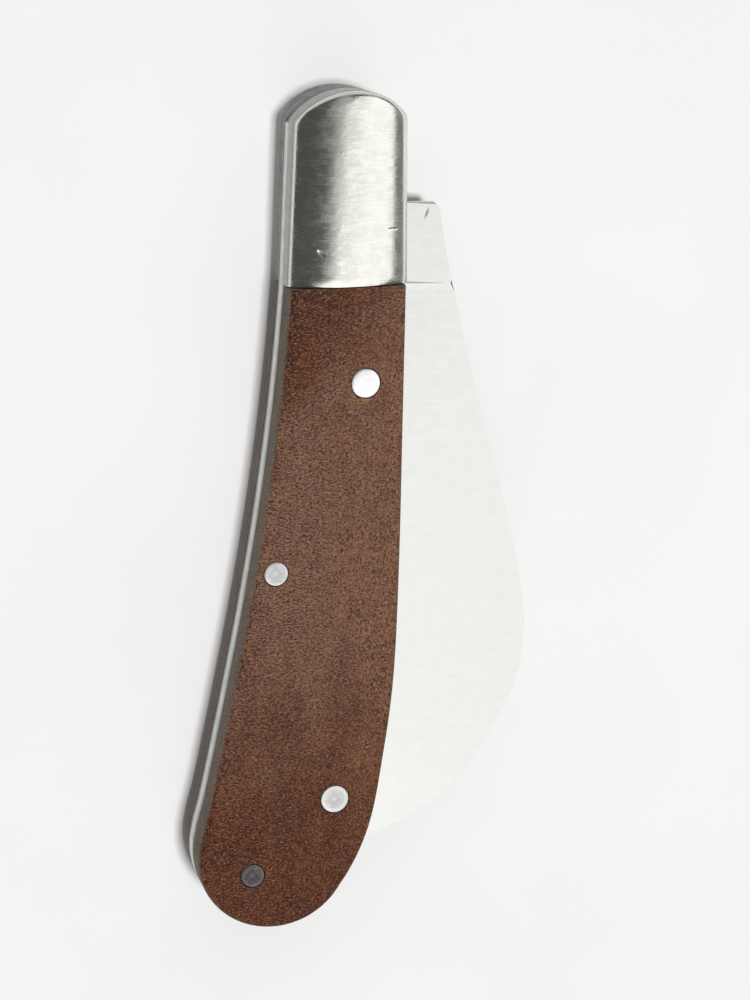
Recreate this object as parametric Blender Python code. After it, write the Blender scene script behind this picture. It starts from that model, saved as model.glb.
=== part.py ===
"""Slip-joint folding knife with a broad hump-backed blade, shown closed.

The knife lies on its rear scale. +Z points out of the front scale, +Y runs along the handle
towards the bolsters, and -X is the back of the handle, where the spring lies. The blade is
folded into the slot between the liners, with its spine standing out on the +X side.
The layers from the table up are scale, liner, blade and spring, liner, scale.
Lengths are in millimetres here, and are turned into metres where the meshes are made.
"""

import math

import bmesh
import bpy
from mathutils import Matrix, Vector

MM = 0.001

# Layers, along Z
SCALE_THICKNESS = 4.4
LINER_THICKNESS = 0.6
SLOT_WIDTH = 2.0
LAYER_GAP = 0.1  # between pieces that lie on each other
MID_Z = SCALE_THICKNESS + LINER_THICKNESS + SLOT_WIDTH / 2

# Handle
PIVOT = (-1.45, 45.8)  # the pivot pin, and the centre of the rounded bolster end
END_RADIUS = 9.2
BELLY_X = 5.8  # belly side of the bolsters
SHOULDER_X = -8.95  # back of the bolsters, where the rounded end starts
JOINT_Y = 30.6  # butt joint of bolster and scale
JOINT_BACK_X = -9.95
TAIL_CENTRE = (-12.7, -44.7)
TAIL_RADIUS = 10.3
TAIL_START = -30.0  # the tail's arc, in degrees, from belly to back
TAIL_END = -194.0
RIM_ROUND = {"front": 0.9, "rear": 3.0}  # rounding along the outer rim of each scale
BOLSTER_SIDE = 1.2  # a bolster's straight side, below its dome
BOLSTER_RECESS = 0.05  # the dome's crown lies this far below the scales' faces
DOME_SQUARENESS = 2.2  # exponent of the dome's curve: 2 is an ellipse, more is boxier

# The first and last point of each list only steer the curve. Both run from joint to tail
# or back along the rim of the liner, the scale and the spring.
BELLY_CURVE = [
    (5.3, 44.0),
    (5.1, JOINT_Y),
    (4.75, 14.0),
    (4.3, -6.0),
    (3.6, -21.0),
    (2.2, -31.8),
    (0.1, -42.2),
    (-3.78, -49.85),
    (-9.0, -54.3),
]
BACK_CURVE = [
    (-22.9, -47.0),
    (-22.69, -42.2),
    (-21.25, -36.5),
    (-18.55, -24.3),
    (-15.8, -11.0),
    (-13.4, 2.5),
    (-11.4, 16.5),
    (JOINT_BACK_X, JOINT_Y),
    (-9.3, 42.0),
]

# Blade, in its folded place
BLADE_THICKNESS = SLOT_WIDTH - 2 * LAYER_GAP
BLADE_HALF = BLADE_THICKNESS / 2
TANG_RADIUS = 4.4
TANG_FLAT = 4.15  # half the tang's width across its flats
STEP_Y = 40.35  # shoulder that lands on the spring's tip when the blade is open
STEP_SETBACK = 0.5  # from the start of the ricasso's spine curve to the step's corner
RICASSO_END_Y = 29.8
PLUNGE_RAMP = 1.4
NECK_HEIGHT = 0.7  # from the heel to where the tang's straight side starts
HEEL_X = -4.9
EDGE_THICKNESS = 0.3
SPINE_TAPER_WIDTH = 17.0  # where the blade is narrower than this, its spine thins too
TIP = (-2.8, -46.9)
UPPER_SPINE_CURVE = [
    (9.2, 45.0),
    (10.6, 39.8),
    (11.45, 34.8),
    (12.45, RICASSO_END_Y),
    (14.85, 19.6),
]
SPINE_CURVE = [
    (11.45, 34.8),
    (12.45, RICASSO_END_Y),
    (14.85, 19.6),
    (17.9, 7.7),
    (20.95, -4.4),
    (22.6, -13.2),
    (22.7, -20.2),
    (21.2, -26.4),
    (18.0, -32.3),
    (13.4, -38.2),
    (7.9, -42.7),
    (2.4, -45.1),
    TIP,
    (-8.0, -48.3),
]

# Backspring
SPRING_FACE_X = PIVOT[0] - 4.5  # the face that the tang slides on
SPRING_TIP_Y = 51.0
SPRING_INNER_CURVE = [
    (SPRING_FACE_X, 44.0),
    (SPRING_FACE_X, 36.0),
    (-7.3, 20.0),
    (-8.75, 4.0),
    (-9.3, -6.5),
    (-12.2, -20.0),
    (-14.4, -32.0),
    (-13.0, -40.5),
    (-9.2, -46.5),
    (-7.0, -53.0),
    (-6.6, -60.0),
]
SPRING_SLOT_LENGTH = 0.8  # extra length of the spring's hole for the middle pin

# Pins and rivets
HOLE_CLEARANCE = 0.06
PIN_RECESS = 0.05  # pin ends lie this far below the scales' faces
PIVOT_RECESS = 0.15
PIN_CHAMFER = 0.15
PIVOT_RADIUS = 1.5
SPRING_PIN_RADIUS = 1.6
RIVET_RADIUS = 1.9
BOLSTER_RIVET_RADIUS = 1.0
BOLSTER_RIVET_HEIGHT = 3.0
MIDDLE_PIN = (-12.25, -6.0)
TAIL_PIN = (-15.85, -47.2)
UPPER_RIVET = (-0.35, 18.3)
LOWER_RIVET = (-4.65, -37.5)
BOLSTER_RIVET = (-5.2, 34.6)
SCALE_HOLES = [
    (MIDDLE_PIN, SPRING_PIN_RADIUS),
    (TAIL_PIN, SPRING_PIN_RADIUS),
    (UPPER_RIVET, RIVET_RADIUS),
    (LOWER_RIVET, RIVET_RADIUS),
]
LINER_HOLES = [*SCALE_HOLES, (PIVOT, PIVOT_RADIUS), (BOLSTER_RIVET, BOLSTER_RIVET_RADIUS)]

# Mesh fineness
RIM_STEPS = 4
SPINE_STEPS = 3
END_STEPS = 24
TAIL_STEPS = 20
SPRING_TAIL_STEPS = 14
TANG_STEPS = 16
DOME_STEPS = 24
ROUND_STEPS = 3
PIN_SIDES = 32
SHARP_ANGLE = 30.0

CUTTER_OVERSHOOT = 1.0  # how far cutters run on past what they cut
FLAT = 1e-6  # points whose heights differ by less lie on one flat face

# name: (colour, roughness, metallic)
LOOKS = {
    "wood": ((0.17, 0.075, 0.035), 0.55, 0.0),
    "bolster_steel": ((0.62, 0.62, 0.59), 0.28, 1.0),
    "liner_steel": ((0.6, 0.61, 0.59), 0.35, 1.0),
    "blade_steel": ((0.72, 0.73, 0.69), 0.32, 1.0),
    "pin_aluminium": ((0.75, 0.76, 0.76), 0.35, 1.0),
}


def arc(centre, radius, start, end, steps):
    """Points on a circle, from start to end in degrees, both included."""
    angles = [math.radians(start + (end - start) * i / steps) for i in range(steps + 1)]
    return [(centre[0] + radius * math.cos(a), centre[1] + radius * math.sin(a)) for a in angles]


def smooth_curve(points, steps):
    """A Catmull-Rom curve through all the points but the first and the last, which steer it."""
    curve = []
    for before, start, end, after in zip(points, points[1:], points[2:], points[3:]):
        p0, p1, p2, p3 = (Vector(p) for p in (before, start, end, after))
        for i in range(steps):
            t = i / steps
            bend = 2 * p0 - 5 * p1 + 4 * p2 - p3
            twist = 3 * p1 - p0 - 3 * p2 + p3
            curve.append(tuple(0.5 * (2 * p1 + t * (p2 - p0) + t * t * bend + t**3 * twist)))
    curve.append(tuple(points[-2]))
    return curve


def end_angle(x):
    """Where the rounded end of the bolsters meets the side at x, in degrees."""
    return math.degrees(math.acos((x - PIVOT[0]) / END_RADIUS))


def bolster_outline():
    """Counterclockwise from the joint's belly corner."""
    rounded = arc(PIVOT, END_RADIUS, end_angle(BELLY_X), end_angle(SHOULDER_X), END_STEPS)
    low = JOINT_Y + LAYER_GAP / 2
    return [(BELLY_X, low), *rounded, (JOINT_BACK_X, low)]


def scale_outline():
    """Clockwise from the joint's belly corner, round the tail, to the joint's back corner."""
    top = JOINT_Y - LAYER_GAP / 2
    tail = arc(TAIL_CENTRE, TAIL_RADIUS, TAIL_START, TAIL_END, TAIL_STEPS)
    belly = smooth_curve(BELLY_CURVE, RIM_STEPS)
    back = smooth_curve(BACK_CURVE, RIM_STEPS)
    rim = belly[:-1] + tail + back[1:]
    rim[0] = (rim[0][0], top)
    rim[-1] = (rim[-1][0], top)
    return rim


def liner_outline():
    """The bolster's and the scale's outlines as one, clockwise from the bolster's belly corner."""
    rounded = arc(PIVOT, END_RADIUS, end_angle(SHOULDER_X), end_angle(BELLY_X), END_STEPS)
    return [(BELLY_X, JOINT_Y), *scale_outline()[:-1], (JOINT_BACK_X, JOINT_Y), *rounded]


def spring_outline():
    """Clockwise: down the inner side, round the tail and up the back to the tip."""
    inner = smooth_curve(SPRING_INNER_CURVE, RIM_STEPS)
    foot_angle = math.degrees(math.acos((inner[-1][0] - TAIL_CENTRE[0]) / TAIL_RADIUS))
    tail = arc(TAIL_CENTRE, TAIL_RADIUS, -foot_angle, TAIL_END, SPRING_TAIL_STEPS)
    back = smooth_curve(BACK_CURVE, RIM_STEPS)[1:]
    top = [(SHOULDER_X, SPRING_TIP_Y), (SPRING_FACE_X, SPRING_TIP_Y)]
    return inner[:-1] + tail + back + top


def material(name):
    found = bpy.data.materials.get(name)
    if found:
        return found
    colour, roughness, metallic = LOOKS[name]
    made = bpy.data.materials.new(name)
    made.use_nodes = True
    shader = made.node_tree.nodes["Principled BSDF"]
    shader.inputs["Base Color"].default_value = (*colour, 1.0)
    shader.inputs["Roughness"].default_value = roughness
    shader.inputs["Metallic"].default_value = metallic
    made.diffuse_color = (*colour, 1.0)
    return made


def new_object(name, bm, look, origin=(0.0, 0.0)):
    """An object from a bmesh in millimetres, with its origin above the point origin."""
    bmesh.ops.recalc_face_normals(bm, faces=bm.faces)
    place = Vector((origin[0], origin[1], 0.0))
    bmesh.ops.transform(bm, matrix=Matrix.Scale(MM, 4) @ Matrix.Translation(-place), verts=bm.verts)
    mesh = bpy.data.meshes.new(name)
    bm.to_mesh(mesh)
    bm.free()
    mesh.shade_smooth()
    mesh.set_sharp_from_angle(angle=math.radians(SHARP_ANGLE))
    made = bpy.data.objects.new(name, mesh)
    made.location = place * MM
    bpy.context.scene.collection.objects.link(made)
    if look:
        mesh.materials.append(material(look))
    return made


def extruded(outline, low, high):
    """A bmesh of an outline swept from z low to z high."""
    bm = bmesh.new()
    floor = bm.faces.new([bm.verts.new((x, y, low)) for x, y in outline])
    swept = bmesh.ops.extrude_face_region(bm, geom=[floor])["geom"]
    lifted = [v for v in swept if isinstance(v, bmesh.types.BMVert)]
    bmesh.ops.translate(bm, verts=lifted, vec=(0.0, 0.0, high - low))
    return bm


def cut(target, cutter, operation="DIFFERENCE"):
    """Adds a Boolean modifier, and hides the cutter."""
    modifier = target.modifiers.new("cut", "BOOLEAN")
    modifier.object = cutter
    modifier.operation = operation
    cutter.hide_render = True
    cutter.display_type = "WIRE"


def cut_hole(target, centre, radius, low=0.0, high=2 * MID_Z, slot=0.0):
    """Cuts a round hole along Z, or a slotted one that runs on by slot towards +X."""
    low -= CUTTER_OVERSHOOT
    high += CUTTER_OVERSHOOT
    radius += HOLE_CLEARANCE
    far = (centre[0] + slot, centre[1])
    half = PIN_SIDES // 2
    outline = arc(far, radius, -90, 90, half) + arc(centre, radius, 90, 270, half)
    if not slot:
        outline = arc(centre, radius, 0, 360, PIN_SIDES)[:-1]
    cut(target, new_object(f"cutter_{target.name}", extruded(outline, low, high), None))


def cut_holes(target, holes):
    for centre, radius in holes:
        cut_hole(target, centre, radius)


def rear_rim_height(point, outline):
    """How far the rear scale's rounded rim lies above its flat face at a point in plan."""
    radius = RIM_ROUND["rear"]
    inset = min(math.dist(point, corner) for corner in outline)
    return radius - math.sqrt(radius**2 - max(0.0, radius - inset) ** 2)


def pin(name, centre, radius, low, high, look="pin_aluminium"):
    """A round pin along Z with chamfered ends, filed down where the rear scale's rim is rounded."""
    bm = extruded(arc(centre, radius, 0, 360, PIN_SIDES)[:-1], low, high)
    rims = [e for e in bm.edges if abs(e.verts[0].co.z - e.verts[1].co.z) < FLAT]
    bmesh.ops.bevel(bm, geom=rims, offset=PIN_CHAMFER, segments=1, affect="EDGES")
    outline = scale_outline()
    for v in bm.verts:
        v.co.z = max(v.co.z, rear_rim_height(v.co.xy, outline))
    return new_object(name, bm, look, centre)


def front_and_rear(low, high):
    """(prefix, low z, high z) of a front piece and of its mirror image behind the slot."""
    return (("front", low, high), ("rear", 2 * MID_Z - high, 2 * MID_Z - low))


def make_scales():
    """Wooden scales, with the rim of the outer face rounded except at the bolster."""
    low = MID_Z + SLOT_WIDTH / 2 + LINER_THICKNESS + LAYER_GAP
    for side, bottom, top in front_and_rear(low, 2 * MID_Z):
        bm = extruded(scale_outline(), bottom, top)
        outer = top if side == "front" else bottom
        joint = JOINT_Y - LAYER_GAP
        rim = [
            e
            for e in bm.edges
            if all(abs(v.co.z - outer) < FLAT for v in e.verts)
            and min(v.co.y for v in e.verts) < joint
        ]
        radius = RIM_ROUND[side]
        bmesh.ops.bevel(
            bm, geom=rim, offset=radius, segments=ROUND_STEPS, profile=0.5, affect="EDGES"
        )
        cut_holes(new_object(f"{side}_scale", bm, "wood"), SCALE_HOLES)


def make_liners():
    low = MID_Z + SLOT_WIDTH / 2
    for side, bottom, top in front_and_rear(low, low + LINER_THICKNESS):
        plate = extruded(liner_outline(), bottom, top)
        cut_holes(new_object(f"{side}_liner", plate, "liner_steel"), LINER_HOLES)


def dome(centre, half, low, rise):
    """A superellipse arch from the belly side over the crown to the back."""
    power = 2 / DOME_SQUARENESS
    points = []
    for i in range(DOME_STEPS + 1):
        angle = math.pi * i / DOME_STEPS
        across = math.copysign(abs(math.cos(angle)) ** power, math.cos(angle))
        points.append((centre + half * across, low + rise * math.sin(angle) ** power))
    return points


def dome_bar(side):
    """The space below a bolster's dome: a bar along Y whose width follows the bolster's sides."""
    rise = SCALE_THICKNESS - BOLSTER_SIDE - BOLSTER_RECESS
    spring_line = MID_Z + SLOT_WIDTH / 2 + LINER_THICKNESS + BOLSTER_SIDE
    shoulder_y = PIVOT[1] + math.sqrt(END_RADIUS**2 - (SHOULDER_X - PIVOT[0]) ** 2)
    slope = (SHOULDER_X - JOINT_BACK_X) / (shoulder_y - JOINT_Y)
    bm = bmesh.new()
    ends = []
    for y in (JOINT_Y - CUTTER_OVERSHOOT, PIVOT[1] + END_RADIUS + CUTTER_OVERSHOOT):
        back = JOINT_BACK_X + slope * (y - JOINT_Y)
        arch = dome((BELLY_X + back) / 2, (BELLY_X - back) / 2, spring_line, rise)
        profile = [(BELLY_X, MID_Z), *arch, (back, MID_Z)]
        if side == "rear":
            profile = [(x, 2 * MID_Z - z) for x, z in profile]
        ends.append([bm.verts.new((x, y, z)) for x, z in profile])
        bm.faces.new(ends[-1])
    count = len(ends[0])
    for i in range(count):
        j = (i + 1) % count
        bm.faces.new((ends[0][i], ends[0][j], ends[1][j], ends[1][i]))
    return new_object(f"cutter_{side}_dome", bm, None)


def make_bolsters():
    low = MID_Z + SLOT_WIDTH / 2 + LINER_THICKNESS + LAYER_GAP
    for side, bottom, top in front_and_rear(low, 2 * MID_Z):
        block = extruded(bolster_outline(), bottom, top)
        bolster = new_object(f"{side}_bolster", block, "bolster_steel")
        cut(bolster, dome_bar(side), "INTERSECT")
        cut_hole(bolster, PIVOT, PIVOT_RADIUS)
        rivet_end = MID_Z + SLOT_WIDTH / 2 + BOLSTER_RIVET_HEIGHT + HOLE_CLEARANCE - CUTTER_OVERSHOOT
        ends = (MID_Z, rivet_end) if side == "front" else (2 * MID_Z - rivet_end, MID_Z)
        cut_hole(bolster, BOLSTER_RIVET, BOLSTER_RIVET_RADIUS, *ends)


def make_backspring():
    bm = extruded(spring_outline(), MID_Z - BLADE_HALF, MID_Z + BLADE_HALF)
    spring = new_object("backspring", bm, "liner_steel", TAIL_PIN)
    cut_hole(spring, MIDDLE_PIN, SPRING_PIN_RADIUS, slot=SPRING_SLOT_LENGTH)
    cut_hole(spring, TAIL_PIN, SPRING_PIN_RADIUS)


def flat_outline(spine_start):
    """The tang and ricasso, from the heel over the tang to the top of the ground spine."""
    flat_angle = math.degrees(math.acos(TANG_FLAT / TANG_RADIUS))
    round_end = arc(PIVOT, TANG_RADIUS, 180 - flat_angle, flat_angle, TANG_STEPS)
    spine = smooth_curve(UPPER_SPINE_CURVE, SPINE_STEPS)
    heel = (HEEL_X, RICASSO_END_Y + PLUNGE_RAMP)
    neck = (PIVOT[0] - TANG_FLAT, heel[1] + NECK_HEIGHT)
    step = [(PIVOT[0] + TANG_FLAT, STEP_Y), (spine[0][0] - STEP_SETBACK, STEP_Y)]
    return [heel, neck, *round_end, *step, *spine[:-1], spine_start]


def edge_points(spine):
    """The cutting edge's points beside the spine's points."""
    length = RICASSO_END_Y - TIP[1]
    points = []
    for _, y in spine:
        share = (RICASSO_END_Y - y) / length
        points.append((HEEL_X + (TIP[0] - HEEL_X) * share, RICASSO_END_Y - length * share))
    return points


def spine_half(spine_point, edge_point):
    """Half the spine's thickness, which falls off where the blade is narrow."""
    share = min(1.0, (spine_point[0] - edge_point[0]) / SPINE_TAPER_WIDTH)
    return max(BLADE_HALF * share, EDGE_THICKNESS / 2)


def make_blade():
    """The flat tang and ricasso, and the blade ground from a full-thickness spine to its edge."""
    spine = smooth_curve(SPINE_CURVE, SPINE_STEPS)
    edge = edge_points(spine)
    flat = flat_outline(spine[0])
    bm = bmesh.new()
    sides = []
    for sign in (1, -1):
        edge_z = MID_Z + sign * EDGE_THICKNESS / 2
        flat_verts = [bm.verts.new((x, y, MID_Z + sign * BLADE_HALF)) for x, y in flat]
        edge_verts = [bm.verts.new((x, y, edge_z)) for x, y in edge[:-1]]
        spine_verts = [flat_verts[-1]]
        for edge_point, (x, y) in zip(edge[1:], spine[1:]):
            half = spine_half((x, y), edge_point)
            spine_verts.append(bm.verts.new((x, y, MID_Z + sign * half)))
        bm.faces.new(flat_verts)
        bm.faces.new((flat_verts[0], flat_verts[-1], edge_verts[0]))
        for i in range(len(edge_verts) - 1):
            bm.faces.new((edge_verts[i], spine_verts[i], spine_verts[i + 1], edge_verts[i + 1]))
        bm.faces.new((edge_verts[-1], spine_verts[-2], spine_verts[-1]))
        sides.append([*flat_verts, *spine_verts[1:], *reversed(edge_verts)])
    count = len(sides[0])
    for i in range(count):
        j = (i + 1) % count
        bm.faces.new((sides[0][i], sides[0][j], sides[1][j], sides[1][i]))
    blade = new_object("blade", bm, "blade_steel", PIVOT)
    cut_hole(blade, PIVOT, PIVOT_RADIUS)


def make_pins():
    """Through pins for the pivot and the spring, and short rivets where the blade folds in."""
    top = 2 * MID_Z
    pin("pivot_pin", PIVOT, PIVOT_RADIUS, PIVOT_RECESS, top - PIVOT_RECESS, "bolster_steel")
    pin("spring_middle_pin", MIDDLE_PIN, SPRING_PIN_RADIUS, PIN_RECESS, top - PIN_RECESS)
    pin("spring_tail_pin", TAIL_PIN, SPRING_PIN_RADIUS, PIN_RECESS, top - PIN_RECESS)
    slot_top = MID_Z + SLOT_WIDTH / 2
    for side, low, high in front_and_rear(slot_top, top - PIN_RECESS):
        pin(f"{side}_upper_rivet", UPPER_RIVET, RIVET_RADIUS, low, high)
        pin(f"{side}_lower_rivet", LOWER_RIVET, RIVET_RADIUS, low, high)
    for side, low, high in front_and_rear(slot_top, slot_top + BOLSTER_RIVET_HEIGHT):
        name = f"{side}_bolster_rivet"
        pin(name, BOLSTER_RIVET, BOLSTER_RIVET_RADIUS, low, high, "bolster_steel")


def main():
    for old in list(bpy.data.objects):
        bpy.data.objects.remove(old)
    make_scales()
    make_liners()
    make_bolsters()
    make_backspring()
    make_blade()
    make_pins()


main()
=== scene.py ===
import math

import bmesh
import bpy
from mathutils import Matrix, Vector

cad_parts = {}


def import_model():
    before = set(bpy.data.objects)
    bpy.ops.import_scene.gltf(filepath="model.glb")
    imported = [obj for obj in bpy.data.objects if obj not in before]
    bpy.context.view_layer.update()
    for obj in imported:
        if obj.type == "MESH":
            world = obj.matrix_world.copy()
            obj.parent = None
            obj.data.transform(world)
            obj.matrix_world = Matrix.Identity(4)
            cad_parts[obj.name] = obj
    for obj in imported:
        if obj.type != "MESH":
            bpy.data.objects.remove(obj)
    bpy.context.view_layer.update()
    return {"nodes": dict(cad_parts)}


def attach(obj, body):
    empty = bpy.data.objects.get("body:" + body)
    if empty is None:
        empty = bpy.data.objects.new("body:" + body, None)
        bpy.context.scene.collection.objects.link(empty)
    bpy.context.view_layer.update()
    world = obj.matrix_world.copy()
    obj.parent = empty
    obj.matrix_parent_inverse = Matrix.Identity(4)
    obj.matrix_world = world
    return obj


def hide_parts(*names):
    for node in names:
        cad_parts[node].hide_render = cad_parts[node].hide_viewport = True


# The looks of a folding knife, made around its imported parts. Lengths are in millimetres, and
# become metres where a mesh or a material is made. Floor, lights and camera are in metres. The
# frame is the part's own: +Z comes out of the front scale, +Y runs along the handle towards the
# bolsters, and -X is the back of the handle.

MM = 0.001

# Layers, along Z
LINER_THICKNESS = 0.6
LAYER_GAP = 0.1
MID_Z = 6.0
TOP_Z = 2 * MID_Z
SLOT_HALF = 1.0
LINER_Z = MID_Z + SLOT_HALF
SCALE_Z = LINER_Z + LINER_THICKNESS + LAYER_GAP

# Handle
PIVOT = (-1.45, 45.8)
END_RADIUS = 9.2
BELLY_X = 5.8
SHOULDER_X = -8.95
JOINT_Y = 30.6
JOINT_BACK_X = -9.95
TAIL_CENTRE = (-12.7, -44.7)
TAIL_RADIUS = 10.3
TAIL_START = -30.0
TAIL_END = -194.0
WOOD_ROUND = {"front": 0.9, "rear": 3.0}
WOOD_HEM = 0.25  # flat strip inside the rounded rim
WOOD_SINK = 0.05  # countersink at the pins
METAL_ROUND = 0.16
JOINT_ROUND = 0.08
BELLY_CURVE = [
    (5.3, 44.0),
    (5.1, JOINT_Y),
    (4.75, 14.0),
    (4.3, -6.0),
    (3.6, -21.0),
    (2.2, -31.8),
    (0.1, -42.2),
    (-3.78, -49.85),
    (-9.0, -54.3),
]
BACK_CURVE = [
    (-22.9, -47.0),
    (-22.69, -42.2),
    (-21.25, -36.5),
    (-18.55, -24.3),
    (-15.8, -11.0),
    (-13.4, 2.5),
    (-11.4, 16.5),
    (JOINT_BACK_X, JOINT_Y),
    (-9.3, 42.0),
]

# Bolsters
BOLSTER_SIDE = 1.2
CROWN_Z = TOP_Z - 0.05
DOME_SQUARENESS = 2.2
CORNER_ROUND = 1.0
END_ROUND = 0.7
END_FACING_LEAST = 0.3  # limits how far the end's rounding stretches where a line meets it aslant

# Blade
BLADE_HALF = 0.9
TANG_RADIUS = 4.4
TANG_FLAT = 4.15
STEP_Y = 40.35
STEP_CHAMFER = 0.3
STEP_CORNER = 0.5
RICASSO_END_Y = 29.8
PLUNGE_RAMP = 1.4
HEEL_CORNER = 0.7
HEEL_X = -4.9
GROUND_EDGE_HALF = 0.15
EDGE_HALF = 0.03
EDGE_BEVEL_WIDTH = 0.6
EDGE_BEVEL_MOST = 0.5  # as a share of the blade's width
SPINE_TAPER_WIDTH = 17.0
SPINE_ROUND = 0.14
TIP = (-2.8, -46.9)
UPPER_SPINE_CURVE = [
    (9.2, 45.0),
    (10.6, 39.8),
    (11.45, 34.8),
    (12.45, RICASSO_END_Y),
    (14.85, 19.6),
]
SPINE_CURVE = [
    (11.45, 34.8),
    (12.45, RICASSO_END_Y),
    (14.85, 19.6),
    (17.9, 7.7),
    (20.95, -4.4),
    (22.6, -13.2),
    (22.7, -20.2),
    (21.2, -26.4),
    (18.0, -32.3),
    (13.4, -38.2),
    (7.9, -42.7),
    (2.4, -45.1),
    TIP,
    (-8.0, -48.3),
]

# Backspring
SPRING_FACE_X = PIVOT[0] - 4.5
SPRING_TIP_Y = 51.0
SPRING_INNER_CURVE = [
    (SPRING_FACE_X, 44.0),
    (SPRING_FACE_X, 36.0),
    (-7.3, 20.0),
    (-8.75, 4.0),
    (-9.3, -6.5),
    (-12.2, -20.0),
    (-14.4, -32.0),
    (-13.0, -40.5),
    (-9.2, -46.5),
    (-7.0, -53.0),
    (-6.6, -60.0),
]
SPRING_SLOT_LENGTH = 0.8

# Pins and their holes
HOLE_CLEARANCE = 0.06
CUTTER_REACH = 1.0  # how far a cutter stands out below and above
PIN_LIP = 0.12
PIN_CROWN = 0.04
PIN_LEAN_DEPTH = 2.0  # how much of a pin's front end leans with its face
PIN_RING_SPACING = 0.4
SPRING_PIN_RADIUS = 1.6
RIVET_RADIUS = 1.9
PIVOT_RADIUS = 1.5
BOLSTER_RIVET_RADIUS = 1.0
BOLSTER_RIVET = (-5.2, 34.6)
MIDDLE_PIN = (-12.25, -6.0)
TAIL_PIN = (-15.85, -47.2)
UPPER_RIVET = (-0.35, 18.3)
LOWER_RIVET = (-4.65, -37.5)

# Nicks: centre, half length and half width, turn in degrees, and how deep next to the grain
BOLSTER_NICKS = [((-6.0, 35.0), (0.75, 0.3), -45.0, 70.0), ((3.5, 37.7), (1.2, 0.24), 0.0, 30.0)]
BLADE_NICKS = [((10.5, -6.85), (1.0, 0.26), 68.0, 12.0)]

# Mesh fineness
CURVE_STEPS = 16
TAIL_STEPS = 64
ROUND_STEPS = 6
DOME_STEPS = 72
DOME_LINE_STEPS = 24
DOME_END_TRIES = 8  # rounds in which the end of a dome's line settles
TANG_STEPS = 48
BLADE_COLUMNS = 14
PLUNGE_STEPS = 6
PIN_SIDES = 96
PIN_CROWN_STEPS = 5
PIN_LIP_STEPS = 3

# Wood colours
WOOD_ENDS_DARK = (0.046, 0.008, 0.003)
WOOD_ENDS_PALE = (0.078, 0.018, 0.006)
WOOD_MIDDLE = (0.178, 0.097, 0.066)
WOOD_BELLY = (0.200, 0.088, 0.045)
# painted shade in the back corner by the bolster
WOOD_CORNER_PAINTED_SHADE = (0.026, 0.014, 0.011)
WOOD_TAIL_BAND = (0.044, 0.021, 0.019)
WOOD_PATCH = (0.062, 0.028, 0.020)
WOOD_BLOTCH_PALE = (0.190, 0.092, 0.052)
WOOD_BLOTCH_DARK = (0.050, 0.018, 0.011)
WOOD_FLECK_PALE = (0.200, 0.078, 0.036)
WOOD_FLECK_PALE_MIDDLE = (0.290, 0.165, 0.104)
WOOD_FLECK_DARK = (0.034, 0.013, 0.009)
WOOD_SPECK_PALE = (0.270, 0.140, 0.080)
WOOD_SPECK_DARK = (0.030, 0.014, 0.010)
WOOD_PORE = (0.012, 0.007, 0.006)
WOOD_GLINT = (0.42, 0.24, 0.16)
WOOD_STAIN = (0.36, 0.17, 0.03)
WOOD_SAWN_DARK = (0.105, 0.083, 0.060)
WOOD_SAWN_PALE = (0.205, 0.172, 0.132)

# Other colours
RUST = (0.20, 0.15, 0.10)
FLOOR_DARK = (0.808, 0.808, 0.806)
FLOOR_PALE = (0.830, 0.830, 0.826)

# Floor, just below the knife
FLOOR_HALF = 3.0
FLOOR_Z = -0.0001

# Room: how bright it is towards each X of a unit direction, how bright its two ends are, from
# which Y of a direction they start and are full, and how bright the camera sees it
ROOM_TONES = [(-0.14, 0.075), (0.12, 0.42), (0.16, 0.08), (0.68, 0.08), (0.90, 0.20)]
ROOM_END_TONE = 0.62
ROOM_END_START = 0.48
ROOM_END_FULL = 0.66
BACKDROP_TONE = 0.93

# Soft lights: place, size, turn in degrees and radiance
SOFTBOX_PLACE = (0.255, -0.12, 0.545)
SOFTBOX_SIZE = (0.42, 1.1)
SOFTBOX_TURN = -42.0
SOFTBOX_RADIANCE = 1.13
OVERHEAD_PLACE = (0.072, 0.03, 2.1)
OVERHEAD_SIZE = (0.30, 0.30)
OVERHEAD_RADIANCE = 131.0

# Camera: place, aim, and its lens in millimetres
CAMERA_PLACE = (-0.075, 0.078, 0.296)
CAMERA_AIM = (0.00192, 0.00191, 0.008)
CAMERA_LENS = 85.0


# Shapes


def arc(centre, radius, start, end, steps):
    """Points on a circle, from start to end in degrees, both included."""
    angles = [math.radians(start + (end - start) * i / steps) for i in range(steps + 1)]
    return [(centre[0] + radius * math.cos(a), centre[1] + radius * math.sin(a)) for a in angles]


def smooth_curve(points, steps=CURVE_STEPS):
    """A Catmull-Rom curve through all the points but the first and the last, which steer it."""
    curve = []
    for before, start, end, after in zip(points, points[1:], points[2:], points[3:]):
        p0, p1, p2, p3 = (Vector(p) for p in (before, start, end, after))
        for i in range(steps):
            t = i / steps
            bend = 2 * p0 - 5 * p1 + 4 * p2 - p3
            twist = 3 * p1 - p0 - 3 * p2 + p3
            curve.append(tuple(0.5 * (2 * p1 + t * (p2 - p0) + t * t * bend + t**3 * twist)))
    curve.append(tuple(points[-2]))
    return curve


def scale_outline():
    """Clockwise from the joint's belly corner, round the tail, to the joint's back corner."""
    top = JOINT_Y - LAYER_GAP / 2
    tail = arc(TAIL_CENTRE, TAIL_RADIUS, TAIL_START, TAIL_END, TAIL_STEPS)
    rim = smooth_curve(BELLY_CURVE)[:-1] + tail + smooth_curve(BACK_CURVE)[1:]
    rim[0] = (rim[0][0], top)
    rim[-1] = (rim[-1][0], top)
    return rim


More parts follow.
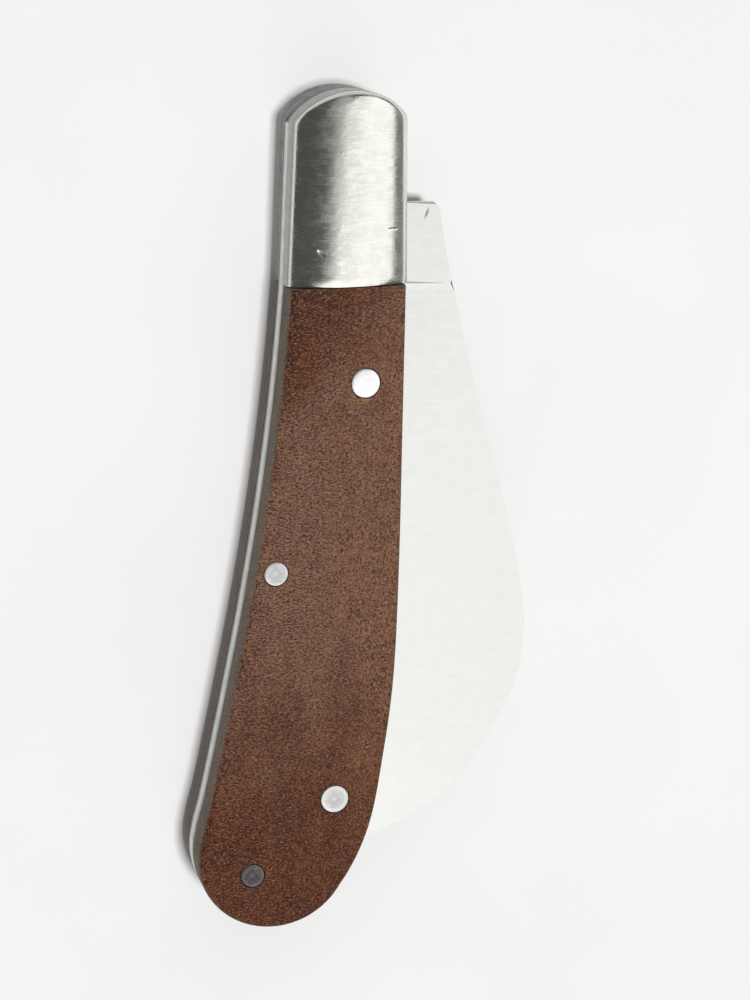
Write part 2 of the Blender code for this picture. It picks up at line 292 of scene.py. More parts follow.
def bolster_end_y(x):
    """The Y at which the bolster ends for an x: a round end with rounded corners."""
    reach = END_RADIUS - CORNER_ROUND
    for side, inward in ((BELLY_X, -1), (SHOULDER_X, 1)):
        corner_x = side + inward * CORNER_ROUND
        offset = corner_x - PIVOT[0]
        tangent_x = PIVOT[0] + offset * END_RADIUS / reach
        if (x - tangent_x) * inward < 0:
            corner_y = PIVOT[1] + math.sqrt(reach**2 - offset**2)
            return corner_y + math.sqrt(max(0.0, CORNER_ROUND**2 - (x - corner_x) ** 2))
    return PIVOT[1] + math.sqrt(END_RADIUS**2 - (x - PIVOT[0]) ** 2)


def liner_outline():
    """Clockwise from the bolster's belly corner, round the tail and over the bolster's end."""
    steps = 2 * CURVE_STEPS
    middle = (BELLY_X + SHOULDER_X) / 2
    half = (BELLY_X - SHOULDER_X) / 2
    across = [middle - half * math.cos(math.pi * i / steps) for i in range(steps + 1)]
    rounded = [(x, bolster_end_y(x)) for x in across]
    return [(BELLY_X, JOINT_Y), *scale_outline()[:-1], (JOINT_BACK_X, JOINT_Y), *rounded]


def spring_outline():
    """Clockwise: down the inner side, round the tail and up the back to the tip."""
    inner = smooth_curve(SPRING_INNER_CURVE)
    foot_angle = math.degrees(math.acos((inner[-1][0] - TAIL_CENTRE[0]) / TAIL_RADIUS))
    tail = arc(TAIL_CENTRE, TAIL_RADIUS, -foot_angle, TAIL_END, TAIL_STEPS)
    back = smooth_curve(BACK_CURVE)[1:]
    tip_y = min(bolster_end_y(SHOULDER_X), SPRING_TIP_Y)
    return [(SPRING_FACE_X, tip_y), *inner[:-1], *tail, *back, (SHOULDER_X, tip_y)]


def extruded(outline, low, high):
    """A bmesh of an outline swept from z low to z high."""
    bm = bmesh.new()
    floor = bm.faces.new([bm.verts.new((x, y, low)) for x, y in outline])
    swept = bmesh.ops.extrude_face_region(bm, geom=[floor])["geom"]
    lifted = [v for v in swept if isinstance(v, bmesh.types.BMVert)]
    bmesh.ops.translate(bm, verts=lifted, vec=(0.0, 0.0, high - low))
    return bm


def rim_edges(bm, z):
    """The edges of the flat face at z."""
    return [e for e in bm.edges if all(abs(v.co.z - z) < 1e-4 for v in e.verts)]


def round_rim(bm, edges, offset, segments):
    """Rounds edges by offset, or chamfers them if there is one segment."""
    bmesh.ops.bevel(bm, geom=edges, offset=offset, segments=segments, profile=0.5, affect="EDGES")


def hem_flats(bm, width):
    """Insets the two flat faces, so that the rim's smooth shading doesn't run into them."""
    flats = [f for f in bm.faces if abs(f.normal.z) > 0.999 and len(f.verts) > 4]
    bmesh.ops.inset_individual(bm, faces=flats, thickness=width)


def turned(centre, profile):
    """A solid turned about a vertical axis. The profile runs from the axis, out, and back to it."""
    bm = bmesh.new()
    rings = []
    for radius, z in profile:
        count = PIN_SIDES if radius else 1
        angles = [2 * math.pi * i / count for i in range(count)]
        plan = [(centre[0] + radius * math.cos(a), centre[1] + radius * math.sin(a)) for a in angles]
        rings.append([bm.verts.new((x, y, z)) for x, y in plan])
    for low, high in zip(rings, rings[1:]):
        for i in range(PIN_SIDES):
            j = (i + 1) % PIN_SIDES
            corners = [low[i % len(low)], low[j % len(low)]]
            corners += [high[j % len(high)], high[i % len(high)]]
            bm.faces.new(list(dict.fromkeys(corners)))
    return bm


def new_object(name, bm, origin=(0.0, 0.0)):
    """An object from a bmesh in millimetres, with its own origin at a point in plan."""
    bmesh.ops.recalc_face_normals(bm, faces=bm.faces)
    place = Vector((origin[0], origin[1], 0.0))
    bmesh.ops.transform(bm, matrix=Matrix.Scale(MM, 4) @ Matrix.Translation(-place), verts=bm.verts)
    mesh = bpy.data.meshes.new(name)
    bm.to_mesh(mesh)
    bm.free()
    made = bpy.data.objects.new(name, mesh)
    made.location = place * MM
    bpy.context.scene.collection.objects.link(made)
    return made


def drill(target, holes):
    """Cuts holes of (centre, radius, countersink width, slot length) right through target."""
    low = -CUTTER_REACH
    high = TOP_Z + CUTTER_REACH
    cutters = []
    for centre, radius, sink, slot in holes:
        r = radius + HOLE_CLEARANCE
        if slot:
            far = (centre[0] + slot, centre[1])
            outline = arc(far, r, -90, 90, PIN_SIDES // 2) + arc(centre, r, 90, 270, PIN_SIDES // 2)
            bm = extruded(outline, low, high)
        else:
            wide = r + sink + CUTTER_REACH
            sunk = [(wide, low), (r, sink), (r, TOP_Z - sink), (wide, high)]
            straight = [(r, low), (r, high)]
            bm = turned(centre, [(0.0, low), *(sunk if sink else straight), (0.0, high)])
        cutters.append(new_object("cutter", bm))
    for cutter in cutters:
        modifier = target.modifiers.new("cut", "BOOLEAN")
        modifier.object = cutter
    depsgraph = bpy.context.evaluated_depsgraph_get()
    plain = target.data
    cut = bpy.data.meshes.new_from_object(target.evaluated_get(depsgraph))
    target.modifiers.clear()
    target.data = cut
    bpy.data.meshes.remove(plain)
    for cutter in cutters:
        bpy.data.objects.remove(cutter)


def show(piece, look, body, slot, *nodes, sharp=30.0):
    """Shades a piece, gives it its material, and lets it stand for CAD nodes on their body."""
    piece.data.shade_smooth()
    piece.data.set_sharp_from_angle(angle=math.radians(sharp))
    piece.data.materials.clear()
    piece.data.materials.append(look)
    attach(piece, body)
    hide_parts(*nodes)


# Materials


class Nodes:
    """A short way to write a material's node tree on the piece's own coordinates."""

    def __init__(self, name):
        self.material = bpy.data.materials.new(name)
        self.material.use_nodes = True
        self.tree = self.material.node_tree
        self.shader = self.tree.nodes["Principled BSDF"]
        self.coordinates = self.tree.nodes.new("ShaderNodeTexCoord")

    def node(self, kind, inputs=(), **settings):
        """A shader node by its short name, with its settings and then its inputs filled in."""
        made = self.tree.nodes.new("ShaderNode" + kind)
        for key, value in settings.items():
            setattr(made, key, value)
        for key, value in dict(inputs).items():
            self.plug(made.inputs[key], value)
        return made

    def plug(self, socket, value):
        """Links another node's output to a socket, or sets the socket's own value."""
        if isinstance(value, bpy.types.NodeSocket):
            self.tree.links.new(value, socket)
        elif value is not None:
            socket.default_value = value

    def place(self, scale, turn):
        """Object coordinates turned by some degrees, then counted in scale millimetres per axis."""
        turned_place = self.node("Mapping", {"Vector": self.coordinates.outputs["Object"]})
        turned_place.inputs["Rotation"].default_value = [math.radians(a) for a in turn]
        sized = self.node("Mapping", {"Vector": turned_place.outputs["Vector"]})
        sized.inputs["Scale"].default_value = [1.0 / (MM * s) for s in scale]
        return sized.outputs["Vector"]

    def noise(
        self, size, detail=2.0, roughness=0.5, distortion=0.0, turn=(0.0, 0.0, 0.0), offset=0.0
    ):
        """Noise whose features are about size millimetres, as one number or one for each axis."""
        sizes = size if isinstance(size, tuple) else (size, size, size)
        vector = self.place(sizes, turn)
        if offset:
            shift = {0: vector, 1: (offset, offset, offset)}
            moved = self.node("VectorMath", shift, operation="ADD")
            vector = moved.outputs["Vector"]
        inputs = {"Vector": vector, "Scale": 1.0, "Detail": detail}
        inputs.update({"Roughness": roughness, "Distortion": distortion})
        return self.node("TexNoise", inputs).outputs["Fac"]

    def math(self, operation, first, second=None):
        made = self.node("Math", {0: first}, operation=operation)
        self.plug(made.inputs[1], second)
        return made.outputs[0]

    def between(self, value, low, high, to_low=0.0, to_high=1.0):
        """Smoothly takes value from low..high to to_low..to_high."""
        before = {"Value": value, "From Min": low, "From Max": high}
        after = {"To Min": to_low, "To Max": to_high}
        made = self.node("MapRange", {**before, **after}, interpolation_type="SMOOTHSTEP")
        return made.outputs["Result"]

    def mix(self, share, first, second):
        """A colour that goes from first to second as share goes from 0 to 1."""
        made = self.node("Mix", data_type="RGBA")
        self.plug(made.inputs[0], share)
        for socket, colour in ((made.inputs[6], first), (made.inputs[7], second)):
            self.plug(socket, (*colour, 1.0) if isinstance(colour, tuple) else colour)
        return made.outputs[2]

    def axis(self, name, source="Object"):
        """One axis of the piece's own coordinates, in metres, or of its normal."""
        parts = self.node("SeparateXYZ", {0: self.coordinates.outputs[source]})
        return parts.outputs[name]

    def streak(self, centre, half_size, turn=0.0):
        """1 in the middle of an oval, seen along Z, and falling to 0 at its rim."""
        place = {"Vector": self.coordinates.outputs["Object"]}
        oval = self.node("Mapping", place, vector_type="TEXTURE")
        oval.inputs["Location"].default_value = (centre[0] * MM, centre[1] * MM, 0.0)
        oval.inputs["Rotation"].default_value = (0.0, 0.0, math.radians(turn))
        oval.inputs["Scale"].default_value = (half_size[0] * MM, half_size[1] * MM, 1.0)
        away = self.node("VectorMath", {0: oval.outputs["Vector"]}, operation="LENGTH")
        return self.between(away.outputs["Value"], 1.0, 0.2)

    def bump(self, height, distance, strength=1.0):
        """A normal from a height, one unit of which stands for distance millimetres."""
        inputs = {"Height": height, "Distance": distance * MM, "Strength": strength}
        return self.node("Bump", inputs).outputs["Normal"]

    def finish(self, colour, roughness, normal, metallic=0.0, specular=0.5):
        """Fills in the shader and hands back the material."""
        self.plug(self.shader.inputs["Base Color"], colour)
        self.plug(self.shader.inputs["Roughness"], roughness)
        self.plug(self.shader.inputs["Normal"], normal)
        self.plug(self.shader.inputs["Metallic"], metallic)
        self.plug(self.shader.inputs["Specular IOR Level"], specular)
        return self.material


def wood_material():
    """Dense brown wood with short flecks, dark pores and a greyer sawn rim."""
    n = Nodes("brown_wood")
    x = n.axis("X")
    y = n.axis("Y")
    broad = n.noise((6.0, 10.0, 6.0), detail=3.0)
    patch = n.noise((2.2, 3.0, 2.5), detail=3.0, offset=7.0)
    blotch = n.noise((1.3, 1.0, 1.0), detail=3.0, offset=17.0)
    waver = n.math("MULTIPLY", n.math("SUBTRACT", broad, 0.5), 30 * MM)

    # Broad tones: a pale middle, a tan belly side, painted shade in the back corner by the bolster,
    # and a dark band at the tail
    base = n.mix(n.between(broad, 0.42, 0.58), WOOD_ENDS_DARK, WOOD_ENDS_PALE)
    slant = n.math("ADD", n.math("SUBTRACT", y, x), waver)
    upper = n.between(slant, 36 * MM, 14 * MM)
    lower = n.between(n.math("ADD", y, waver), -42 * MM, -10 * MM)
    middle = n.math("MULTIPLY", n.math("MULTIPLY", upper, lower), 0.9)
    base = n.mix(middle, base, WOOD_MIDDLE)
    belly = n.math("ADD", n.math("ADD", x, n.math("MULTIPLY", y, -0.15)), waver)
    belly = n.between(belly, -8 * MM, 6 * MM)
    tan = n.math("MULTIPLY", belly, n.between(y, -46 * MM, -30 * MM, 0.1, 0.6))
    base = n.mix(tan, base, WOOD_BELLY)
    # Painted shade: the back corner by the bolster darkens to nearly black-brown
    corner = n.math("SUBTRACT", n.math("MULTIPLY", y, 0.6), x)
    corner = n.math("ADD", corner, n.math("MULTIPLY", patch, 8 * MM))
    base = n.mix(n.between(corner, 22 * MM, 31 * MM, 0.0, 0.9), base, WOOD_CORNER_PAINTED_SHADE)
    band = n.math("MULTIPLY", n.streak((-11.7, -38.0), (1.8, 12.0), 5.0), 0.5)
    base = n.mix(band, base, WOOD_TAIL_BAND)
    base = n.mix(n.between(patch, 0.54, 0.40, 0.0, 0.35), base, WOOD_PATCH)
    base = n.mix(n.between(blotch, 0.50, 0.64, 0.0, 0.3), base, WOOD_BLOTCH_PALE)
    base = n.mix(n.between(blotch, 0.48, 0.34, 0.0, 0.35), base, WOOD_BLOTCH_DARK)

    # Flecks, across the handle on the back side and curly along it on the belly side, and specks
    across = n.noise((0.44, 0.2, 0.4), detail=3.0, roughness=0.65, distortion=0.4)
    curly = n.noise((0.24, 0.46, 0.4), detail=3.0, roughness=0.65, distortion=0.9, offset=3.0)
    fleck = n.node("Mix", {0: belly, 2: across, 3: curly}, data_type="FLOAT").outputs[0]
    pale = n.mix(middle, WOOD_FLECK_PALE, WOOD_FLECK_PALE_MIDDLE)
    colour = n.mix(n.between(fleck, 0.49, 0.63, 0.0, 0.8), base, pale)
    colour = n.mix(n.between(fleck, 0.50, 0.37, 0.0, 0.8), colour, WOOD_FLECK_DARK)
    speck = n.noise((0.3, 0.22, 0.25), detail=2.0, offset=31.0)
    colour = n.mix(n.between(speck, 0.52, 0.32, 0.0, 0.6), colour, WOOD_SPECK_DARK)
    colour = n.mix(n.between(speck, 0.52, 0.70, 0.0, 0.5), colour, WOOD_SPECK_PALE)

    # Pores, glints, and a yellow stain at the upper rivet's rim
    pore = n.noise((0.34, 0.26, 0.3), detail=1.0, offset=11.0)
    pores = n.between(pore, 0.36, 0.30)
    colour = n.mix(n.math("MULTIPLY", pores, 0.9), colour, WOOD_PORE)
    glint = n.noise((0.42, 0.24, 0.3), detail=1.0, offset=23.0)
    colour = n.mix(n.between(glint, 0.68, 0.76, 0.0, 0.7), colour, WOOD_GLINT)
    stain = n.math("MULTIPLY", n.streak((-0.3, 16.1), (0.9, 0.6)), 0.4)
    colour = n.mix(stain, colour, WOOD_STAIN)

    # Sawn walls
    upright = n.math("ABSOLUTE", n.axis("Z", "Normal"))
    rim = n.between(upright, 0.8, 0.3)
    sawn = n.mix(n.between(across, 0.4, 0.6), WOOD_SAWN_DARK, WOOD_SAWN_PALE)
    colour = n.mix(n.math("MULTIPLY", rim, 0.8), colour, sawn)

    height = n.math("SUBTRACT", fleck, n.math("MULTIPLY", pores, 0.5))
    rough = n.between(n.math("ADD", fleck, patch), 0.8, 1.2, 0.5, 0.68)
    return n.finish(colour, rough, n.bump(height, 0.05, 0.8), specular=0.12)


def steel_material(
    name, dark, light, grain, roughness, bump, dents=0.0, painted_wall_shade=None, nicks=(), stain=0.0
):
    """Worked steel. Grain is the size of its brush marks along each axis, dents the depth of its
    soft unevenness next to theirs, the wall colours the painted shade of the front and the rear
    half's upright walls, and stain how much rust fills the nicks."""
    n = Nodes(name)
    marks = n.noise(grain, detail=4.0, roughness=0.65)
    cloud = n.noise(1.6, detail=4.0, roughness=0.6, offset=9.0)
    tone = n.math("ADD", n.math("MULTIPLY", marks, 0.5), n.math("MULTIPLY", cloud, 0.5))
    colour = n.mix(n.between(tone, 0.3, 0.7), dark, light)
    low, high = roughness
    rough = n.between(tone, 0.40, 0.60, high, low)
    # Painted shade: upright walls take darker colours, darkest on the rear half, standing for the
    # shadowed floor they mirror
    if painted_wall_shade:
        front, rear = painted_wall_shade
        upright = n.between(n.math("ABSOLUTE", n.axis("Z", "Normal")), 0.62, 0.3)
        rear_z = MID_Z - SLOT_HALF
        half = n.between(n.axis("Z"), rear_z * MM, (rear_z + LAYER_GAP) * MM)
        colour = n.mix(upright, colour, n.mix(half, rear, front))
        rough = n.math("ADD", rough, n.math("MULTIPLY", upright, 0.12))
    height = n.math("ADD", marks, n.math("MULTIPLY", cloud, dents))
    for centre, half_size, turn, depth in nicks:
        nick = n.streak(centre, half_size, turn)
        colour = n.mix(n.math("MULTIPLY", nick, stain), colour, RUST)
        height = n.math("SUBTRACT", height, n.math("MULTIPLY", nick, depth))
    return n.finish(colour, rough, n.bump(height, bump), metallic=1.0)


def pin_material(name, face, rim):
    """Filed metal with faint turning rings, and a painted highlight in a lighter colour along its
    rim.
    """
    n = Nodes(name)
    warp = n.noise(0.9, detail=2.0)
    in_plan = {0: n.coordinates.outputs["Object"], 1: (1.0, 1.0, 0.0)}
    away = n.node("VectorMath", in_plan, operation="MULTIPLY")
    radius = n.node("VectorMath", {0: away.outputs["Vector"]}, operation="LENGTH").outputs["Value"]
    rings = n.math("SINE", n.math("MULTIPLY", radius, 2 * math.pi / (PIN_RING_SPACING * MM)))
    scratch = n.noise((0.9, 0.12, 0.5), detail=3.0, turn=(0.0, 0.0, 35.0))
    tint = n.mix(n.between(n.math("ADD", warp, scratch), 0.85, 1.15, 0.0, 0.7), face, rim)
    # Painted highlight: the rim colour rings the face's edge
    colour = n.mix(n.between(radius, 1.20 * MM, 1.5 * MM), tint, rim)
    rough = n.between(scratch, 0.4, 0.6, 0.24, 0.32)
    height = n.math("ADD", n.math("MULTIPLY", rings, 0.3), scratch)
    return n.finish(colour, rough, n.bump(height, 0.0022), metallic=1.0)


def floor_material():
    """Pale, faintly mottled table."""
    n = Nodes("pale_floor")
    mottle = n.noise(40.0, detail=3.0)
    fibre = n.noise(0.8, detail=2.0)
    colour = n.mix(n.between(mottle, 0.3, 0.7), FLOOR_DARK, FLOOR_PALE)
    return n.finish(colour, 0.85, n.bump(fibre, 0.01, 0.3), specular=0.1)


# Pieces


def handle_holes(sink):
    """The holes that scales and liners share, with a countersink of a given width."""
    rivets = [(point, RIVET_RADIUS, sink, 0.0) for point in (UPPER_RIVET, LOWER_RIVET)]
    pins = [(point, SPRING_PIN_RADIUS, sink, 0.0) for point in (MIDDLE_PIN, TAIL_PIN)]
    return rivets + pins


def make_scales(look):
    """Wooden scales, rounded along the rim of the outer face but not at the bolster."""
    for side in ("front", "rear"):
        low, high = (SCALE_Z, TOP_Z) if side == "front" else (0.0, TOP_Z - SCALE_Z)
        outer = high if side == "front" else low
        bm = extruded(scale_outline(), low, high)
        joint = JOINT_Y - LAYER_GAP
        rim = [e for e in rim_edges(bm, outer) if min(v.co.y for v in e.verts) < joint]
        round_rim(bm, rim, WOOD_ROUND[side], ROUND_STEPS)
        bm.normal_update()
        hem_flats(bm, WOOD_HEM)
        scale = new_object(f"{side}_scale_wood", bm)
        drill(scale, handle_holes(WOOD_SINK))
        show(scale, look, "handle", "wood", f"{side}_scale")


def make_liners(look):
    """Thin plates on both sides of the slot."""
    for side in ("front", "rear"):
        low = LINER_Z if side == "front" else TOP_Z - LINER_Z - LINER_THICKNESS
        high = low + LINER_THICKNESS
        bm = extruded(liner_outline(), low, high)
        round_rim(bm, rim_edges(bm, low) + rim_edges(bm, high), METAL_ROUND, 2)
        liner = new_object(f"{side}_liner_plate", bm)
        pivot = (PIVOT, PIVOT_RADIUS, 0.0, 0.0)
        bolster_rivet = (BOLSTER_RIVET, BOLSTER_RIVET_RADIUS, 0.0, 0.0)
        drill(liner, [pivot, bolster_rivet, *handle_holes(0.0)])
        show(liner, look, "handle", "liner_steel", f"{side}_liner")


def bolster_back_x(y):
    """The straight back side of the bolster, from the joint to where the round end starts."""
    run = bolster_end_y(SHOULDER_X) - JOINT_Y
    return JOINT_BACK_X + (SHOULDER_X - JOINT_BACK_X) * (y - JOINT_Y) / run


def dome_column(turn):
    """One line of the dome along Y, at an angle from the belly side over the crown to the back."""
    power = 2 / DOME_SQUARENESS
    across = math.copysign(abs(math.cos(turn)) ** power, math.cos(turn))
    spring_z = SCALE_Z + BOLSTER_SIDE
    rise = (CROWN_Z - spring_z) * math.sin(turn) ** power

    def x_at(y):
        back = bolster_back_x(y)
        return (BELLY_X + back) / 2 + (BELLY_X - back) / 2 * across

    end = JOINT_Y
    for _ in range(DOME_END_TRIES):
        end = bolster_end_y(min(BELLY_X, max(SHOULDER_X, x_at(end))))
    start = JOINT_Y + LAYER_GAP / 2
    round_length = END_ROUND / max(END_FACING_LEAST, (end - PIVOT[1]) / END_RADIUS)
    share = min(1.0, rise / (2 * END_ROUND))
    stops = [(start, JOINT_ROUND * share)]
    for angle in (math.radians(45), math.radians(90)):
        y = start + JOINT_ROUND * (1 - math.cos(angle))
        stops.append((y, JOINT_ROUND * share * (1 - math.sin(angle))))
    run = end - round_length - start - JOINT_ROUND
    for i in range(1, DOME_LINE_STEPS):
        stops.append((start + JOINT_ROUND + run * i / DOME_LINE_STEPS, 0.0))
    for i in range(ROUND_STEPS + 1):
        angle = math.pi / 2 * i / ROUND_STEPS
        y = end - round_length * (1 - math.sin(angle))
        stops.append((y, END_ROUND * share * (1 - math.cos(angle))))
    return [(x_at(y), y, spring_z + rise - drop) for y, drop in stops]


def make_bolsters(look):
    """Domed bolsters: lines along Y, set closer where the dome turns down to the sides."""
    for side in ("front", "rear"):
        bm = bmesh.new()
        columns = []
        for i in range(DOME_STEPS + 1):
            line = dome_column(math.pi * i / DOME_STEPS)
            foot, head = ((x, y, SCALE_Z) for x, y, _ in (line[0], line[-1]))
            columns.append([bm.verts.new(p) for p in (foot, *line, head)])
        for left, right in zip(columns, columns[1:]):
            for i in range(len(left) - 1):
                bm.faces.new((left[i], left[i + 1], right[i + 1], right[i]))
        bm.faces.new([*(c[0] for c in columns), *(c[-1] for c in reversed(columns))])
        for column in (columns[0], columns[-1]):
            bm.faces.new(column)
        bmesh.ops.dissolve_degenerate(bm, dist=1e-4, edges=bm.edges)
        if side == "rear":
            mirror = Matrix.Translation((0, 0, TOP_Z)) @ Matrix.Diagonal((1, 1, -1, 1))
            bmesh.ops.transform(bm, matrix=mirror, verts=bm.verts)
        bolster = new_object(f"{side}_bolster_dome", bm)
        show(bolster, look, "handle", "bolster_steel", f"{side}_bolster", sharp=40.0)


def make_backspring(look):
    """A bar as thick as the blade, slotted for the middle pin, with its origin on the tail pin."""
    low = MID_Z - BLADE_HALF
    high = MID_Z + BLADE_HALF
    bm = extruded(spring_outline(), low, high)
    round_rim(bm, rim_edges(bm, low) + rim_edges(bm, high), METAL_ROUND, 2)
    spring = new_object("backspring_steel", bm, TAIL_PIN)
    middle = (MIDDLE_PIN, SPRING_PIN_RADIUS, 0.0, SPRING_SLOT_LENGTH)
    drill(spring, [middle, (TAIL_PIN, SPRING_PIN_RADIUS, 0.0, 0.0)])
    show(spring, look, "backspring", "spring_steel", "backspring")


def ground_half(share, width):
    """Half the ground blade's thickness at a share of its width, counted from its edge."""
    spine_half = max(BLADE_HALF * min(1.0, width / SPINE_TAPER_WIDTH), GROUND_EDGE_HALF)
    return GROUND_EDGE_HALF + (spine_half - GROUND_EDGE_HALF) * share


def blade_rows():
    """Rows of (x, y, half thickness) from edge to spine, from the plunge's top to near the tip."""
    length = RICASSO_END_Y - TIP[1]
    spine = smooth_curve(SPINE_CURVE, CURVE_STEPS // 2)
    rows = []
    for i in range(PLUNGE_STEPS + 1):
        fraction = i / PLUNGE_STEPS
        depth = math.sin(math.pi / 2 * fraction)
        heel_y = RICASSO_END_Y + PLUNGE_RAMP * (1 - fraction)
        rows.append(blade_row((HEEL_X, heel_y), spine[0], depth))
    for x, y in spine[1:-1]:
        share = (RICASSO_END_Y - y) / length
        edge = (HEEL_X + (TIP[0] - HEEL_X) * share, y)
        rows.append(blade_row(edge, (x, y), 1.0))
    return rows


def blade_row(edge, spine, depth):
    """One row, at a depth from 0 for the full thickness to 1 for the ground shape."""
    width = spine[0] - edge[0]
    bevel = min(EDGE_BEVEL_MOST, EDGE_BEVEL_WIDTH / width)
    last = BLADE_COLUMNS - 1
    shares = [0.0, *(bevel + (1 - bevel) * i / last for i in range(BLADE_COLUMNS))]
    row = []
    for share in shares:
        ground = EDGE_HALF if share == 0.0 else ground_half(share, width)
        half = BLADE_HALF + (ground - BLADE_HALF) * depth
        row.append((edge[0] + width * share, edge[1] + (spine[1] - edge[1]) * share, half))
    return row


def make_blade(look):
    """The flat tang and ricasso, and the blade ground from a full-thickness spine to its edge."""
    flat_angle = math.degrees(math.acos(TANG_FLAT / TANG_RADIUS))
    left = PIVOT[0] - TANG_FLAT
    right = PIVOT[0] + TANG_FLAT
    round_end = arc(PIVOT, TANG_RADIUS, 180 - flat_angle, flat_angle, TANG_STEPS)
    ricasso_spine = smooth_curve(UPPER_SPINE_CURVE)[:-1]
    step = [(right, STEP_Y), (ricasso_spine[0][0] - STEP_CORNER, STEP_Y)]
    heel_y = RICASSO_END_Y + PLUNGE_RAMP
    flat = [(left, heel_y + HEEL_CORNER), *round_end, *step, *ricasso_spine]
    rows = blade_rows()
    bm = bmesh.new()
    rims = []
    for sign in (1, -1):
        grid = [[bm.verts.new((x, y, MID_Z + sign * half)) for x, y, half in rows[0]]]
        corner = grid[0][-1]
        for row in rows[1:]:
            shared = row[-1][:2] == rows[0][-1][:2]
            points = row[:-1] if shared else row
            verts = [bm.verts.new((x, y, MID_Z + sign * half)) for x, y, half in points]
            grid.append(verts + [corner] if shared else verts)
        tip = bm.verts.new((TIP[0], TIP[1], MID_Z + sign * EDGE_HALF))
        flat_verts = [bm.verts.new((x, y, MID_Z + sign * BLADE_HALF)) for x, y in flat]
        bm.faces.new([*flat_verts, *reversed(grid[0])])
        for upper, lower in zip(grid, grid[1:]):
            for i in range(len(upper) - 1):
                corners = [upper[i], upper[i + 1], lower[i + 1], lower[i]]
                bm.faces.new(list(dict.fromkeys(corners)))
        for i in range(len(grid[-1]) - 1):
            bm.faces.new((grid[-1][i], grid[-1][i + 1], tip))
        spine_side = [row[-1] for row in grid if row[-1] is not corner]
        edge_side = [row[0] for row in reversed(grid)]
        rims.append([*flat_verts, corner, *spine_side, tip, *edge_side])
    front, rear = rims
    for i in range(len(front)):
        j = (i + 1) % len(front)
        bm.faces.new((front[i], front[j], rear[j], rear[i]))
    # Blunt: the flat part's rim, and then the spine for one edge more than half of the rows
    count = len(flat) + 1 + len(rows) // 2
    blunt = [bm.edges.get((rim[i], rim[i + 1])) for rim in rims for i in range(count)]
    step_edges = [e for e in blunt if all(abs(v.co.y - STEP_Y) < 1e-3 for v in e.verts)]
    round_rim(bm, step_edges, STEP_CHAMFER, 1)
    round_rim(bm, [e for e in blunt if e.is_valid and e not in step_edges], SPINE_ROUND, 2)
    blade = new_object("blade_ground", bm, PIVOT)
    drill(blade, [(PIVOT, PIVOT_RADIUS, 0.0, 0.0)])
    show(blade, look, "blade", "blade_steel", "blade", sharp=25.0)


def pin_profile(radius, low, high, low_lip, high_lip):
    """From the axis at the bottom to the axis at the top. A lip makes an end rounded and crowned."""

    def end(z, outward, lip):
        if not lip:
            return [(0.0, z), (radius, z)]
        rim_z = z - outward * PIN_CROWN
        points = [(0.0, z)]
        for i in range(1, PIN_CROWN_STEPS + 1):
            r = (radius - lip) * i / PIN_CROWN_STEPS
            points.append((r, z - outward * PIN_CROWN * (i / PIN_CROWN_STEPS) ** 2))
        for i in range(1, PIN_LIP_STEPS + 1):
            angle = math.pi / 2 * i / PIN_LIP_STEPS
            inward = lip * (1 - math.sin(angle))
            drop = lip * (1 - math.cos(angle))
            points.append((radius - inward, rim_z - outward * drop))
        return points

    return end(low, -1, low_lip) + list(reversed(end(high, 1, high_lip)))


def rear_rim_height(point, outline):
    """How far the rear scale's rounded rim lies above its flat face at a point in plan."""
    radius = WOOD_ROUND["rear"]
    inset = min(math.dist(point, corner) for corner in outline)
    return radius - math.sqrt(radius**2 - max(0.0, radius - inset) ** 2)


def make_pin(name, centre, radius, low, high, look, lips, lean, *nodes):
    """A pin filed down to the rear rim, whose front face leans a little, as filing leaves it."""
    bm = turned(centre, pin_profile(radius, low, high, *lips))
    outline = scale_outline()
    for v in bm.verts:
        v.co.z = max(v.co.z, rear_rim_height(v.co.xy, outline))
    slope_x = math.tan(math.radians(lean[0]))
    slope_y = math.tan(math.radians(lean[1]))
    for v in bm.verts:
        if v.co.z > high - PIN_LEAN_DEPTH:
            tilt = slope_x * (v.co.x - centre[0]) + slope_y * (v.co.y - centre[1])
            v.co.z -= tilt + radius * math.hypot(slope_x, slope_y)
    pin = new_object(name, bm, centre)
    show(pin, look, "handle", "pin_aluminium", *nodes)


def make_pins(bright, grey, deep_shade_look):
    """Through pins for the spring, and rivets that end at the slot; the leans are in degrees."""
    both = (PIN_LIP, PIN_LIP)
    size = (SPRING_PIN_RADIUS, 0.0, TOP_Z)
    # The grey and the dark looks are the same aluminium painted darker: painted shade
    make_pin("middle_pin", MIDDLE_PIN, *size, grey, both, (-1.0, 0.0), "spring_middle_pin")
    make_pin("tail_pin", TAIL_PIN, *size, deep_shade_look, both, (-3.5, 0.5), "spring_tail_pin")
    for name, centre, look, lean in (
        ("upper_rivet", UPPER_RIVET, bright, (-1.0, 0.0)),
        ("lower_rivet", LOWER_RIVET, grey, (-1.5, 0.0)),
    ):
        front = (RIVET_RADIUS, LINER_Z, TOP_Z, look, (0.0, PIN_LIP), lean)
        rear = (RIVET_RADIUS, 0.0, TOP_Z - LINER_Z, look, (PIN_LIP, 0.0), (0.0, 0.0))
        make_pin(f"front_{name}_head", centre, *front, f"front_{name}")
        make_pin(f"rear_{name}_head", centre, *rear, f"rear_{name}")


# Stage


def make_floor():
    bm = bmesh.new()
    corners = [(-FLOOR_HALF, -FLOOR_HALF), (FLOOR_HALF, -FLOOR_HALF)]
    corners += [(FLOOR_HALF, FLOOR_HALF), (-FLOOR_HALF, FLOOR_HALF)]
    bm.faces.new([bm.verts.new((x, y, FLOOR_Z)) for x, y in corners])
    mesh = bpy.data.meshes.new("floor")
    bm.to_mesh(mesh)
    bm.free()
    floor = bpy.data.objects.new("floor", mesh)
    floor.data.materials.append(floor_material())
    bpy.context.scene.collection.objects.link(floor)


def neutral(tone):
    """A grey of a given brightness."""
    return (tone, tone, tone, 1.0)


